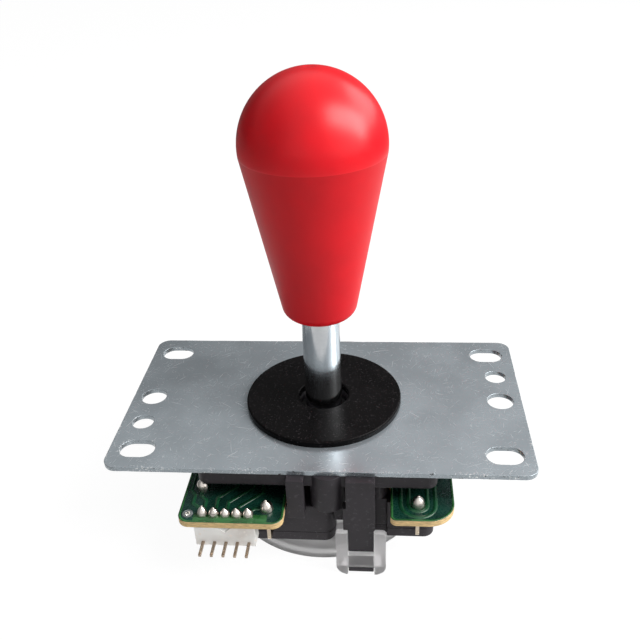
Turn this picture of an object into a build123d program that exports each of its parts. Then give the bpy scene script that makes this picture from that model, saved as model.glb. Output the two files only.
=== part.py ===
from build123d import *
import math
import os

# Arcade joystick lever: a bat handle on a sprung shaft that tilts in a ball socket under a steel
# mounting plate, presses four microswitches on a circuit board, and is stopped by a clear gate.
# Millimetres. Origin at the centre of the plate's top face, +Z up along the lever, -Y to the front.

# Mounting plate
plate_length = 95.0
plate_width = 53.0
plate_thick = 1.2
plate_corner_r = 3.0
plate_bore_dia = 20.0
slot_inset = 6.5
slot_length = 8.2
slot_width = 5.8
end_hole_inset = 5.1
big_hole_dia = 6.2
small_hole_dia = 5.1
small_hole_y = 10.2

# Countersunk screws that hold the plate to the housing, under the washer
screw_pitch = 22.0
screw_dia = 3.0
screw_head_dia = 5.4
screw_length = 7.0
screw_recess_length = 3.2
screw_recess_width = 0.7
screw_recess_depth = 0.6

# Loose dust washer on the plate
washer_dia = 37.3
washer_thick = 1.5
washer_edge_r = 0.45

# Lever tilt
pivot_depth = 4.5
tilt_deg = 9.0
swing_clear = 0.10
rim_clear = 0.3

# Shaft
shaft_dia = 8.8
shaft_lower_dia = 5.0
shaft_top = 24.3
shaft_edge = 0.5
stud_dia = 6.0
stud_length = 11.0
tip_length = 1.7
tip_slot_width = 0.8
tip_slot_depth = 0.9

# Bat handle and its threaded insert
bat_dome_r = 15.5
bat_dome_height = 39.1
bat_seam_drop = 1.45
bat_foot_r = 8.1
bat_foot_round = 2.8
insert_dia = 9.6
insert_cap = 2.0
insert_groove = 0.5

# Pivot bush, a ball with flats
bush_r = 6.2
bush_top = 2.5
bush_bottom = 4.4
run_clear = 0.06
slip_clear = 0.03

# Actuator cup, centering spring and retaining clip
actuator_dia = 12.8
actuator_wall = 1.15
actuator_floor = 2.0
actuator_length = 10.8
actuator_round = 0.6
spring_wire = 0.9
spring_turns = 5.5
spring_clear = 0.15
clip_thick = 0.8
clip_dia = 9.4
clip_band = 1.3
clip_mouth = 4.0
clip_prong_width = 1.8
groove_depth = 0.6

# Housing
flange_thick = 3.6
flange_margin = 0.2
flange_corner_r = 2.2
flange_edge_r = 0.9
socket_margin = 0.10
tower_gap = 0.5
socket_chamfer = 0.8
rib_thick = 2.0
rib_height = 3.4
screw_boss_dia = 6.0
arm_proud = 2.2
arm_gap = 0.15
arm_x = 9.65
arm_width = 6.3
arm_narrowing = 0.3
arm_lug_width = 0.7
arm_lug_drop = 7.6
tongue_set_in = 0.75
hook_reach = 1.35
hook_lift = 0.1
hook_lead = 0.7
arm_root = 1.5
finger_x = -4.5
finger_width = 3.75
finger_drop = 1.2
boss_x = 2.3
boss_set_in = 2.3
boss_dia = 7.8
rest_dia = 4.4
stop_gap = 0.1
stop_thick = 1.8
stop_depth = 4.6
stop_drop = 3.7
peg_clear = 0.1
peg_length = 3.0

# Circuit board
board_standoff = 4.2
board_thick = 1.6
board_margin = 4.0
board_front_margin = 5.1
board_ear_margin = 7.2
board_corner_r = 5.8
board_ear_r = 2.5
board_notch_r = 1.5
board_lip_r = 1.3
board_hole_clear = 0.7
board_notch_clear = 0.6
board_notch_side = 3.4
spare_hole_dia = 1.3
spare_hole_inset_x = 2.1
spare_hole_inset_y = 2.45

# Microswitches, four set like a windmill round the lever
switch_length = 27.8
switch_depth = 15.9
switch_thick = 10.3
switch_cover_thick = 2.5
switch_axis_offset = 24.1
switch_corner_r = 2.5
switch_step_depth = 1.0
switch_step_width = 5.2
switch_hole_dia = 2.9
switch_hole_inset = 3.1
plunger_dia = 2.4
plunger_tip_r = 1.6
plunger_rest_gap = 0.9
plunger_press_gap = 0.15
plunger_stand = 2.9
plunger_lip = 1.0
plunger_tail = 0.6
plunger_collar_dia = 3.6
plunger_collar_thick = 1.0
plunger_end_room = 0.3
terminal_width = 0.85
terminal_thick = 0.5
terminal_bend_r = 0.7
terminal_sunk = 1.2
terminal_reach_side = 2.7
terminal_reach_end = 2.2
terminal_side_x = -10.8
terminal_end_inset = 3.9
terminal_stand = 0.8
terminal_hole_dia = 1.6

# Right-angle signal header under the left front ear
header_pins = 5
header_pitch = 2.54
header_x = -19.65
header_depth = 3.8
header_height = 5.2
header_inset = 0.0
header_end = 1.6
header_notch = 1.9
header_notch_depth = 0.3
pin_width = 0.64
pin_row_inset = 2.4
pin_drop = 4.4
pin_length = 3.9
pin_stand = 0.8
pin_hole_dia = 1.0

# Solder cones on the board
solder_foot_dia = 2.4
solder_waist_dia = 1.9
solder_top_dia = 0.7
solder_height = 2.0
solder_foot_height = 0.12
solder_waist_height = 1.0

# Clear gate
gate_rim_margin = 1.5
gate_depth = 7.1
gate_clear = 0.12
disc_dia = 42.6
disc_thick = 3.2
disc_drop = 0.4
disc_clear = 0.15
disc_opening_r = 2.0
disc_notches = 8
disc_notch_dia = 2.0
disc_collar_wall = 1.6
disc_collar_height = 1.5
ledge_width = 2.6
ledge_thick = 2.0
rim_wall = 2.0
tab_width = 11.2
tab_proud = 0.8
tab_height = 12.8
tab_corner_r = 2.5
tab_top_r = 0.8
tab_clear = 0.15
bar_foot = 2.3
bar_height = 3.7
web_thick = 1.8

# Levels worked out from the sizes above
tilt = math.radians(tilt_deg)
tilt_corner = math.acos(math.cos(tilt) ** 2)
pivot_z = -pivot_depth
shoulder_z = pivot_z + bush_top
flange_top_z = -plate_thick
flange_low_z = flange_top_z - flange_thick
board_top_z = flange_low_z - board_standoff
board_low_z = board_top_z - board_thick
switch_mid_z = board_low_z - switch_thick / 2
switch_low_z = board_low_z - switch_thick
seam_z = switch_low_z + switch_cover_thick
base_z = switch_low_z - gate_depth
seat_depth = bush_r + socket_margin
seat_z = pivot_z - seat_depth
actuator_r = actuator_dia / 2
rim_depth = seat_depth + rim_clear + actuator_r * math.sin(tilt_corner)
rim_z = pivot_z - rim_depth / math.cos(tilt_corner)
clip_top_z = rim_z - actuator_length
cup_floor_z = clip_top_z + actuator_floor
clip_low_z = clip_top_z - clip_thick
shaft_low_z = clip_low_z - tip_length
insert_length = stud_length + insert_cap

# Distances from the lever's axis
slot_x = plate_length / 2 - slot_inset
slot_y = plate_width / 2 - slot_inset
end_hole_x = plate_length / 2 - end_hole_inset
shaft_r = shaft_dia / 2
lower_r = shaft_lower_dia / 2
washer_sway = (washer_thick - pivot_z) * math.tan(tilt_corner)
washer_bore_r = washer_sway + shaft_r / math.cos(tilt_corner) + swing_clear
socket_r = bush_r + run_clear
socket_hole_r = seat_depth * math.tan(tilt_corner) + lower_r / math.cos(tilt_corner) + swing_clear
cup_r = actuator_r - actuator_wall
spring_r = cup_r - spring_clear - spring_wire / 2
plunger_arm = pivot_z - switch_mid_z
plunger_rest = actuator_r + plunger_rest_gap
plunger_pressed = plunger_arm * math.tan(tilt) + actuator_r / math.cos(tilt) + plunger_press_gap
plunger_travel = plunger_pressed - plunger_rest
switch_in = plunger_rest + plunger_stand
switch_out = switch_in + switch_depth
switch_left = -switch_axis_offset
switch_right = switch_left + switch_length
flange_half = switch_out + flange_margin
arm_out = flange_half + arm_proud
arm_in = switch_out + arm_gap
tab_out = arm_out + tab_proud
gate_r = switch_out - gate_rim_margin
tab_in = arm_out - tongue_set_in + tab_clear
window_half = arm_width / 2 - arm_narrowing + tab_clear
bar_low_z = base_z + bar_foot
bar_top_z = bar_low_z + bar_height
disc_top_z = switch_low_z - disc_drop
disc_low_z = disc_top_z - disc_thick
gate_half = (pivot_z - clip_top_z) * math.sin(tilt) + actuator_r * math.cos(tilt) + gate_clear
board_half = switch_out + board_margin
board_front = switch_out + board_front_margin
board_ear = switch_out + board_ear_margin
boss_y = -(flange_half - boss_set_in)
tower_r = switch_in - tower_gap
far_hole = (switch_left + switch_hole_inset, -(switch_in + switch_hole_inset))
near_hole = (switch_right - switch_hole_inset, -(switch_out - switch_hole_inset))
notch_left = finger_x - finger_width / 2 - board_notch_clear
notch_right = arm_x + arm_width / 2 + board_notch_side
notch_depth = -boss_y - boss_dia / 2 - board_notch_clear
header_front = board_ear - header_inset
pin_row_y = -(board_ear - pin_row_inset)
side_terminal = (terminal_side_x, -(switch_out + terminal_reach_side))
end_terminal = (switch_left - terminal_reach_end, -(switch_out - terminal_end_inset))
side_names = ["front", "right", "back", "left"]


def block(x0, x1, y0, y1, z0, z1):
    """A box between two corners."""
    middle = ((x0 + x1) / 2, (y0 + y1) / 2, (z0 + z1) / 2)
    return Pos(*middle) * Box(abs(x1 - x0), abs(y1 - y0), abs(z1 - z0))


def block_face(x0, x1, y0, y1):
    """A flat rectangle between two corners."""
    return Pos((x0 + x1) / 2, (y0 + y1) / 2) * Rectangle(x1 - x0, y1 - y0)


def post(radius, z0, z1, x=0.0, y=0.0):
    """An upright cylinder between two levels."""
    return Pos(x, y, (z0 + z1) / 2) * Cylinder(radius, abs(z1 - z0))


def turned(points):
    """A body turned about the lever's axis from (radius, z) points."""
    return revolve(Plane.XZ * make_face(Polyline(*points, close=True)), Axis.Z)


def on_side(shape, side):
    """A shape made for the front, carried round to side 0 to 3 (front, right, back, left)."""
    return Rot(0, 0, 90 * side) * shape


def slab(outline, z0, z1):
    """A flat outline made solid between two levels."""
    return Pos(0, 0, min(z0, z1)) * extrude(outline, abs(z1 - z0))


def strip(route, width, thick, bend_r):
    """A bent strip along (y, z) points, centred on x = 0."""
    face = trace(FilletPolyline(*route, radius=bend_r), thick)
    return Pos(-width / 2, 0, 0) * extrude(Plane.YZ * face, width)


def screw_tool(clear):
    """A countersunk screw, or its hole when a clearance is given."""
    head_depth = (screw_head_dia - screw_dia) / 2
    reach = screw_dia / 2 + clear
    return turned([
        (0, 0), (screw_head_dia / 2 + clear, 0), (reach, -head_depth), (reach, -screw_length - clear),
        (0, -screw_length - clear),
    ])


def screw_places():
    """Places of the four plate screws."""
    return [(x, y) for x in (-screw_pitch / 2, screw_pitch / 2) for y in (-screw_pitch / 2, screw_pitch / 2)]


def make_plate():
    """The stamped plate with its slots, round holes and countersinks."""
    outline = RectangleRounded(plate_length, plate_width, plate_corner_r)
    outline -= Circle(plate_bore_dia / 2)
    outline -= GridLocations(2 * slot_x, 2 * slot_y, 2, 2) * SlotOverall(slot_length, slot_width)
    outline -= GridLocations(2 * end_hole_x, 0, 2, 1) * Circle(big_hole_dia / 2)
    for turn in (1, -1):
        outline -= Pos(turn * end_hole_x, turn * small_hole_y) * Circle(small_hole_dia / 2)
    plate = slab(outline, -plate_thick, 0)
    for x, y in screw_places():
        plate -= Pos(x, y, 0) * screw_tool(slip_clear)
    return plate


def make_screws():
    """The four screws as one group, each with a cross recess."""
    recess = Box(screw_recess_length, screw_recess_width, 2 * screw_recess_depth)
    recess += Box(screw_recess_width, screw_recess_length, 2 * screw_recess_depth)
    screw = screw_tool(0) - recess
    return Compound([Pos(x, y, 0) * screw for x, y in screw_places()])


def make_washer():
    """The loose disc that covers the panel hole."""
    washer = post(washer_dia / 2, 0, washer_thick) - post(washer_bore_r, 0, washer_thick)
    rims = washer.edges().filter_by(GeomType.CIRCLE).group_by(Axis.Z)[-1]
    return fillet(rims, washer_edge_r)


def make_shaft():
    """The steel shaft: threaded stud, polished upper part, thin lower part, clip groove and tip slot."""
    groove_r = lower_r - groove_depth
    groove_top = clip_top_z + slip_clear
    groove_low = clip_low_z - slip_clear
    shaft = turned([
        (0, shaft_low_z), (lower_r - shaft_edge, shaft_low_z), (lower_r, shaft_low_z + shaft_edge),
        (lower_r, groove_low), (groove_r, groove_low), (groove_r, groove_top), (lower_r, groove_top),
        (lower_r, shoulder_z), (shaft_r, shoulder_z), (shaft_r, shaft_top), (stud_dia / 2, shaft_top),
        (stud_dia / 2, shaft_top + stud_length - shaft_edge),
        (stud_dia / 2 - shaft_edge, shaft_top + stud_length), (0, shaft_top + stud_length),
    ])
    slot_top = shaft_low_z + tip_slot_depth
    return shaft - block(-lower_r, lower_r, -tip_slot_width / 2, tip_slot_width / 2, shaft_low_z, slot_top)


def make_handle():
    """The bat: a dome on a long taper with a round foot, bored for its insert."""
    dome_z = shaft_top + bat_dome_height
    seam_z_bat = dome_z - bat_seam_drop
    seam_r = math.sqrt(bat_dome_r ** 2 - bat_seam_drop ** 2)
    side = math.sqrt(0.5) * bat_dome_r
    profile = make_face(
        Polyline((0, dome_z + bat_dome_r), (0, shaft_top), (bat_foot_r, shaft_top), (seam_r, seam_z_bat))
        + ThreePointArc((seam_r, seam_z_bat), (side, dome_z + side), (0, dome_z + bat_dome_r))
    )
    foot = profile.vertices().sort_by_distance((bat_foot_r, shaft_top, 0))[0]
    bat = revolve(Plane.XZ * fillet(foot, bat_foot_round), Axis.Z)
    return bat - post(insert_dia / 2 + slip_clear, shaft_top, shaft_top + insert_length + slip_clear)


def make_insert():
    """The brass bush in the bat that the shaft's stud screws into."""
    body = post(insert_dia / 2, shaft_top, shaft_top + insert_length)
    middle = shaft_top + insert_length / 2
    groove = post(insert_dia / 2, middle - insert_groove, middle + insert_groove)
    groove -= post(insert_dia / 2 - insert_groove, middle - insert_groove, middle + insert_groove)
    bore = post(stud_dia / 2 + slip_clear, shaft_top, shaft_top + stud_length + slip_clear)
    return body - groove - bore


def make_bush():
    """The ball that the shaft passes through, flat above and below."""
    ball = Pos(0, 0, pivot_z) * Sphere(bush_r)
    ball &= block(-bush_r, bush_r, -bush_r, bush_r, pivot_z - bush_bottom, shoulder_z)
    return ball - post(lower_r + slip_clear, pivot_z - bush_r, pivot_z + bush_r)


def make_actuator():
    """The cup that holds the spring and presses the switches."""
    cup = turned([
        (lower_r + slip_clear, clip_top_z), (actuator_r, clip_top_z), (actuator_r, rim_z), (cup_r, rim_z),
        (cup_r, cup_floor_z), (lower_r + slip_clear, cup_floor_z),
    ])
    outer_rim = cup.edges().filter_by(GeomType.CIRCLE).group_by(Axis.Z)[-1].sort_by(SortBy.RADIUS)[-1]
    return fillet(outer_rim, actuator_round)


def make_spring():
    """The compression spring, its ends ground flat on the cup's floor and the housing's seat."""
    height = seat_z - cup_floor_z
    coil = Helix(height / spring_turns, height, spring_r, center=(0, 0, cup_floor_z))
    section = Plane(origin=coil @ 0, z_dir=coil % 0) * Circle(spring_wire / 2)
    wire = sweep(section, path=coil, is_frenet=True)
    return wire & block(-actuator_r, actuator_r, -actuator_r, actuator_r, cup_floor_z, seat_z)


def make_clip():
    """The retaining clip: an open band with three prongs in the shaft's groove."""
    band_in = clip_dia / 2 - clip_band
    prong_in = lower_r - groove_depth + slip_clear
    outline = Circle(clip_dia / 2) - Circle(band_in)
    outline -= Pos(0, -clip_dia / 2) * Rectangle(clip_mouth, clip_dia)
    for angle in (0, 90, 180):
        prong = Pos((prong_in + band_in + clip_band / 2) / 2, 0)
        prong *= Rectangle(band_in + clip_band / 2 - prong_in, clip_prong_width)
        outline += Rot(0, 0, angle) * prong
    outline -= Circle(prong_in)
    return slab(outline, clip_low_z, clip_top_z)


def make_arm():
    """The front gate arm: a leg down from the flange that ends in a tongue and an outward hook."""
    tongue_out = arm_out - tongue_set_in
    hook_out = tongue_out + hook_reach
    hook_top_z = bar_low_z - tab_clear
    hook_low_z = base_z + hook_lift
    profile = make_face(Polyline(
        (-arm_in + arm_root, flange_top_z), (-arm_out, flange_top_z), (-arm_out, bar_top_z + tongue_set_in),
        (-tongue_out, bar_top_z), (-tongue_out, hook_top_z), (-hook_out, hook_top_z),
        (-hook_out, hook_low_z + hook_lead), (-hook_out + hook_lead, hook_low_z), (-arm_in, hook_low_z),
        (-arm_in, flange_low_z),
        (-arm_in + arm_root, flange_low_z), close=True,
    ))
    tongue_width = arm_width - 2 * arm_narrowing
    arm = Pos(arm_x - tongue_width / 2, 0, 0) * extrude(Plane.YZ * profile, tongue_width)
    arm_left = arm_x - arm_width / 2
    wide_low_z = base_z + tab_height + tab_clear
    arm += block(arm_left, arm_left + arm_width, -arm_out, -arm_in, wide_low_z, flange_top_z)
    lug_top_z = flange_top_z - arm_lug_drop
    return arm + block(arm_left - arm_lug_width, arm_left, -arm_out, -arm_in, wide_low_z, lug_top_z)


def make_side():
    """What the housing carries on its front side: gate arm, finger, bosses with pegs, and an end stop."""
    finger = (finger_x - finger_width / 2, finger_x + finger_width / 2)
    side = make_arm()
    side += block(*finger, -arm_out, -arm_in, board_low_z - finger_drop, flange_top_z)
    side += block(*finger, -arm_in, -arm_in + arm_root, flange_low_z, flange_top_z)
    side += post(boss_dia / 2, board_low_z, flange_top_z, boss_x, boss_y)
    side += post(rest_dia / 2, board_low_z, flange_top_z, *far_hole)
    stop = (switch_right + stop_gap, switch_right + stop_gap + stop_thick)
    side += block(*stop, -switch_out, -switch_out + stop_depth, board_low_z - stop_drop, flange_top_z)
    peg_r = switch_hole_dia / 2 - peg_clear
    for hole in (near_hole, far_hole):
        side += post(peg_r, board_low_z - peg_length, board_low_z, *hole)
    return side


def make_housing():
    """The moulded housing: flange, ribbed socket tower, screw bosses and the four sides' arms."""
    outline = RectangleRounded(2 * flange_half, 2 * flange_half, flange_corner_r)
    housing = slab(outline, flange_low_z, flange_top_z)
    housing = fillet(housing.edges().group_by(Axis.Z)[0], flange_edge_r)
    housing += post(tower_r, seat_z, flange_top_z)
    rib_low = flange_low_z - rib_height
    rib_half = flange_half - flange_edge_r
    housing += block(-rib_half, rib_half, -rib_thick / 2, rib_thick / 2, rib_low, flange_low_z)
    housing += block(-rib_thick / 2, rib_thick / 2, -rib_half, rib_half, rib_low, flange_low_z)
    for x, y in screw_places():
        housing += post(screw_boss_dia / 2, board_top_z, flange_low_z, x, y)
    side = make_side()
    for turn in range(4):
        housing += on_side(side, turn)
    housing -= Pos(0, 0, pivot_z) * Sphere(socket_r)
    housing -= post(socket_r, pivot_z, flange_top_z)
    housing -= post(socket_hole_r, seat_z, pivot_z)
    lip = socket_r + socket_chamfer
    housing -= turned([
        (0, flange_top_z), (lip, flange_top_z), (socket_r, flange_top_z - socket_chamfer),
        (0, flange_top_z - socket_chamfer),
    ])
    for x, y in screw_places():
        housing -= Pos(x, y, 0) * screw_tool(slip_clear)
    return housing


def pin_places():
    """X places of the header's pins."""
    return [header_x + (i - (header_pins - 1) / 2) * header_pitch for i in range(header_pins)]


def round_corner(outline, x, y, radius):
    """The outline with the corner nearest to (x, y) made round."""
    return fillet(outline.vertices().sort_by_distance((x, y, 0))[0], radius)


def make_board():
    """The board: four ears, a notch in each side for the housing's arms, and a hole for the tower."""
    outline = Pos(0, (board_half - board_front) / 2) * Rectangle(2 * board_half, board_half + board_front)
    outline += block_face(-board_half, notch_left, -board_ear, 0)
    notch = block_face(notch_left, notch_right, -2 * board_ear, -notch_depth)
    for turn in range(4):
        outline -= on_side(notch, turn)
    for x, y in ((board_half, -board_front), (board_half, board_half), (-board_half, board_half)):
        outline = round_corner(outline, x, y, board_corner_r)
    for x in (-board_half, notch_left):
        outline = round_corner(outline, x, -board_ear, board_ear_r)
    outline = round_corner(outline, notch_right, -board_front, board_lip_r)
    for turn in (1, 2, 3):
        for x in (notch_left, notch_right):
            lip = Vector(x, -board_half).rotate(Axis.Z, 90 * turn)
            outline = round_corner(outline, lip.X, lip.Y, board_lip_r)
    for turn in range(4):
        for x in (notch_left, notch_right):
            inner = Vector(x, -notch_depth).rotate(Axis.Z, 90 * turn)
            outline = round_corner(outline, inner.X, inner.Y, board_notch_r)
    outline -= Circle(tower_r + board_hole_clear)
    holes = [Pos(*far_hole) * Circle(rest_dia / 2 + board_notch_clear)]
    holes += [Pos(*place) * Circle(terminal_hole_dia / 2) for place in (side_terminal, end_terminal)]
    for turn in range(4):
        for hole in holes:
            outline -= on_side(hole, turn)
    for x in pin_places():
        outline -= Pos(x, pin_row_y) * Circle(pin_hole_dia / 2)
    spare_hole = (-board_half + spare_hole_inset_x, -board_ear + spare_hole_inset_y)
    outline -= Pos(*spare_hole) * Circle(spare_hole_dia / 2)
    return slab(outline, board_low_z, board_top_z)


def make_pins():
    """The header's pins, bent from the board to the front."""
    level = board_low_z - pin_drop
    route = [(pin_row_y, board_top_z + pin_stand), (pin_row_y, level), (-header_front - pin_length, level)]
    pin = strip(route, pin_width, pin_width, pin_width)
    return Compound([Pos(x, 0, 0) * pin for x in pin_places()])


def make_header(pins):
    """The header's moulded body with its mark notch, holding the pins."""
    half = (header_pins - 1) * header_pitch / 2 + header_end
    low = board_low_z - header_height
    back = -header_front + header_depth
    body = block(header_x - half, header_x + half, -header_front, back, low, board_low_z)
    notch = Rot(0, 45, 0) * Box(header_notch, 2 * header_notch_depth, header_notch)
    body -= Pos(header_x, -header_front, board_low_z) * notch
    for pin in pins.solids():
        body -= pin
    return body


def make_terminals():
    """The front switch's two strips, bent up through the board."""
    level = seam_z + terminal_thick / 2
    top = board_top_z + terminal_stand
    root = -switch_out + terminal_sunk
    section = (terminal_width, terminal_thick, terminal_bend_r)
    side_route = [(root, level), (side_terminal[1], level), (side_terminal[1], top)]
    side_strip = Pos(side_terminal[0], 0, 0) * strip(side_route, *section)
    end_route = [(switch_left + terminal_sunk, level), (end_terminal[0], level), (end_terminal[0], top)]
    end_strip = Rot(0, 0, -90) * strip(end_route, *section)
    return [side_strip, Pos(0, end_terminal[1], 0) * end_strip]


def switch_outline():
    """Plan of the front switch, with its stepped end, round outer corners and fixing holes."""
    outline = block_face(switch_left, switch_right, -switch_out, -switch_in)
    for x in (switch_left, switch_right):
        outline = round_corner(outline, x, -switch_out, switch_corner_r)
    step_y = -switch_in - switch_step_width
    outline -= block_face(switch_left, switch_left + switch_step_depth, step_y, -switch_in)
    for hole in (near_hole, far_hole):
        outline -= Pos(*hole) * Circle(switch_hole_dia / 2)
    return outline


def make_plunger():
    """The front switch's plunger: a round-nosed pin with a collar that keeps it in the case."""
    radius = plunger_dia / 2
    collar_r = plunger_collar_dia / 2
    half_angle = math.asin(radius / plunger_tip_r) / 2
    nose = plunger_tip_r * (1 - math.cos(2 * half_angle))
    nose_mid = (plunger_tip_r * math.sin(half_angle), -plunger_tip_r * (1 - math.cos(half_angle)))
    collar_top = -(plunger_stand + plunger_lip + plunger_travel + plunger_end_room)
    collar_low = collar_top - plunger_collar_thick
    end = collar_low - plunger_tail
    profile = make_face(
        Polyline((0, 0), (0, end), (radius, end), (radius, collar_low), (collar_r, collar_low),
                 (collar_r, collar_top), (radius, collar_top), (radius, -nose))
        + ThreePointArc((radius, -nose), nose_mid, (0, 0))
    )
    return Pos(0, -plunger_rest, switch_mid_z) * Rot(-90, 0, 0) * revolve(Plane.XZ * profile, Axis.Z)


def make_case():
    """The front switch's case, bored for the plunger and slotted for the strips."""
    case = slab(switch_outline(), seam_z, board_low_z)
    pocket_start = switch_in + plunger_lip
    plunger_end = pocket_start + plunger_travel + plunger_end_room + plunger_collar_thick + plunger_tail
    pocket_end = plunger_end + plunger_travel + plunger_end_room
    bore = post(plunger_dia / 2 + run_clear, -pocket_start, -switch_in)
    bore += post(plunger_collar_dia / 2 + run_clear, -pocket_end, -pocket_start)
    case -= Pos(0, 0, switch_mid_z) * Rot(-90, 0, 0) * bore
    half = terminal_width / 2 + slip_clear
    slot_top = seam_z + terminal_thick + slip_clear
    root = terminal_sunk + slip_clear
    x, y = side_terminal[0], end_terminal[1]
    case -= block(x - half, x + half, -switch_out, -switch_out + root, seam_z, slot_top)
    case -= block(switch_left, switch_left + root, y - half, y + half, seam_z, slot_top)
    return case


def make_solder(pins, terminals):
    """A cone of solder at each pin and strip, on top of the board."""
    foot, waist, top = solder_foot_dia / 2, solder_waist_dia / 2, solder_top_dia / 2
    cone = Pos(0, 0, board_top_z) * turned([
        (0, 0), (foot, 0), (foot, solder_foot_height), (waist, solder_waist_height), (top, solder_height),
        (0, solder_height),
    ])
    joints = []
    for x, pin in zip(pin_places(), pins.solids()):
        joints.append(Pos(x, pin_row_y, 0) * cone - pin)
    for turn in range(4):
        for place, metal in zip((side_terminal, end_terminal), terminals):
            joints.append(on_side(Pos(*place, 0) * cone - metal, turn))
    return Compound(joints)


def make_gate_disc():
    """The restrictor: a disc with a square opening in a collar, notched to index in its frame."""
    disc_r = disc_dia / 2
    opening = RectangleRounded(2 * gate_half, 2 * gate_half, disc_opening_r)
    collar_half = gate_half + disc_collar_wall
    collar = RectangleRounded(2 * collar_half, 2 * collar_half, disc_opening_r + disc_collar_wall)
    plan = Circle(disc_r) - opening
    plan -= PolarLocations(disc_r, disc_notches) * Circle(disc_notch_dia / 2)
    disc = slab(plan, disc_low_z, disc_top_z)
    return disc + slab(collar - opening, disc_low_z - disc_collar_height, disc_low_z)


def make_gate_frame():
    """The dish that holds the disc, with a clip tab for each of the housing's arms."""
    recess_r = disc_dia / 2 + disc_clear
    frame = post(gate_r, base_z, switch_low_z)
    frame -= post(recess_r, disc_low_z, switch_low_z)
    frame -= post(disc_dia / 2 - ledge_width, base_z, disc_low_z)
    frame -= post(gate_r - rim_wall, base_z, disc_low_z - ledge_thick)
    rib_r = disc_notch_dia / 2 - disc_clear
    for place in PolarLocations(disc_dia / 2, 4):
        rib = place * post(rib_r, disc_low_z, disc_top_z)
        frame += rib & post(gate_r, disc_low_z, disc_top_z)
    tab = make_tab()
    for turn in range(4):
        frame += on_side(tab, turn)
    return frame


def make_tab():
    """The front clip tab: two rails and a cross bar that the arm's hook catches, on a foot web."""
    left, right = arm_x - tab_width / 2, arm_x + tab_width / 2
    top = base_z + tab_height
    face = block_face(left, right, base_z, top)
    for x in (left, right):
        face = round_corner(face, x, base_z, tab_corner_r)
        face = round_corner(face, x, top, tab_top_r)
    window = (arm_x - window_half, arm_x + window_half)
    foot = face & block_face(left, right, base_z, base_z + web_thick)
    tab = Pos(0, -tab_in, 0) * extrude(Plane.XZ * face, tab_out - tab_in)
    tab -= block(*window, -tab_out, -tab_in, bar_top_z, top)
    web = extrude(Plane.XZ * foot, tab_out)
    web -= post(gate_r - rim_wall / 2, base_z, base_z + web_thick)
    tab += web
    return tab - block(*window, -tab_out, -arm_in + tab_clear, base_z, bar_low_z)


def main():
    """Make each piece and write it to its own file."""
    pins = make_pins()
    terminals = make_terminals()
    case = make_case()
    cover = slab(switch_outline(), switch_low_z, seam_z)
    plunger = make_plunger()
    pieces = {
        "mounting_plate": make_plate(),
        "plate_screws": make_screws(),
        "dust_washer": make_washer(),
        "housing": make_housing(),
        "circuit_board": make_board(),
        "connector_housing": make_header(pins),
        "connector_pins": pins,
        "solder_joints": make_solder(pins, terminals),
        "gate_frame": make_gate_frame(),
        "gate_disc": make_gate_disc(),
        "centering_spring": make_spring(),
        "pivot_bush": make_bush(),
        "shaft": make_shaft(),
        "bat_handle": make_handle(),
        "handle_insert": make_insert(),
        "actuator": make_actuator(),
        "retaining_clip": make_clip(),
    }
    for turn, name in enumerate(side_names):
        pieces[name + "_switch_case"] = on_side(case, turn)
        pieces[name + "_switch_cover"] = on_side(cover, turn)
        pieces[name + "_switch_plunger"] = on_side(plunger, turn)
        pieces[name + "_switch_terminals"] = Compound([on_side(metal, turn) for metal in terminals])
    for name, shape in pieces.items():
        export_step(shape, f"parts/{name}.step")


os.makedirs("parts", exist_ok=True)
main()
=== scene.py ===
"""Finishes and fine pieces for an arcade joystick lever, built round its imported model."""

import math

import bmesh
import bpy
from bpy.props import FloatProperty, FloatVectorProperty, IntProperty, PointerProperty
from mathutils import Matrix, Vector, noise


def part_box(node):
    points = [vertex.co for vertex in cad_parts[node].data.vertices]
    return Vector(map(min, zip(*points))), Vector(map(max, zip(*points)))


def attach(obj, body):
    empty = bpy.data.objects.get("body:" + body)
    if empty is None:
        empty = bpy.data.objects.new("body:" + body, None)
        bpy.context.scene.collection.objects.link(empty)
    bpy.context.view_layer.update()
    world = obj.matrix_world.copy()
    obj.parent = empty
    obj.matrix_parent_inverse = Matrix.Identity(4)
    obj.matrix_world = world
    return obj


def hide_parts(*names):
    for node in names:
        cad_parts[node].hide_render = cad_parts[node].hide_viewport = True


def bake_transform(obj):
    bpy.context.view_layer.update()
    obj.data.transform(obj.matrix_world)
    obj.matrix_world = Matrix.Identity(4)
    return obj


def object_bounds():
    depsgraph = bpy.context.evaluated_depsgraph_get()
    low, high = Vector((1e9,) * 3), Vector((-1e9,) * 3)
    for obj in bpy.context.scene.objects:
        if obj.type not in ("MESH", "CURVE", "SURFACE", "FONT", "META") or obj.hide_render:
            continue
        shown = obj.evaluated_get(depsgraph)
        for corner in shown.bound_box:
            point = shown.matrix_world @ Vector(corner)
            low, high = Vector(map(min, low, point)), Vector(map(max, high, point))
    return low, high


bl_info = {
    "name": "Arcade Joystick Lever",
    "version": (1, 0, 0),
    "blender": (4, 5, 0),
    "location": "3D View > Sidebar > Lever",
    "description": "Dresses the packed model of an arcade joystick lever with finishes and fine pieces",
    "category": "Object",
}

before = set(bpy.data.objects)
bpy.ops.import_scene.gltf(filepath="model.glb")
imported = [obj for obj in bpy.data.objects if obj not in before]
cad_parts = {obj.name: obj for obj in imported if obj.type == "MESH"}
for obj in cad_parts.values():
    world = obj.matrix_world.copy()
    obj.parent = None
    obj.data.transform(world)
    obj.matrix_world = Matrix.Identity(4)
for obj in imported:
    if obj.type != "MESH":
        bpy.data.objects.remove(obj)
cad_box = [list(corner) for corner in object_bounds()]

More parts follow.
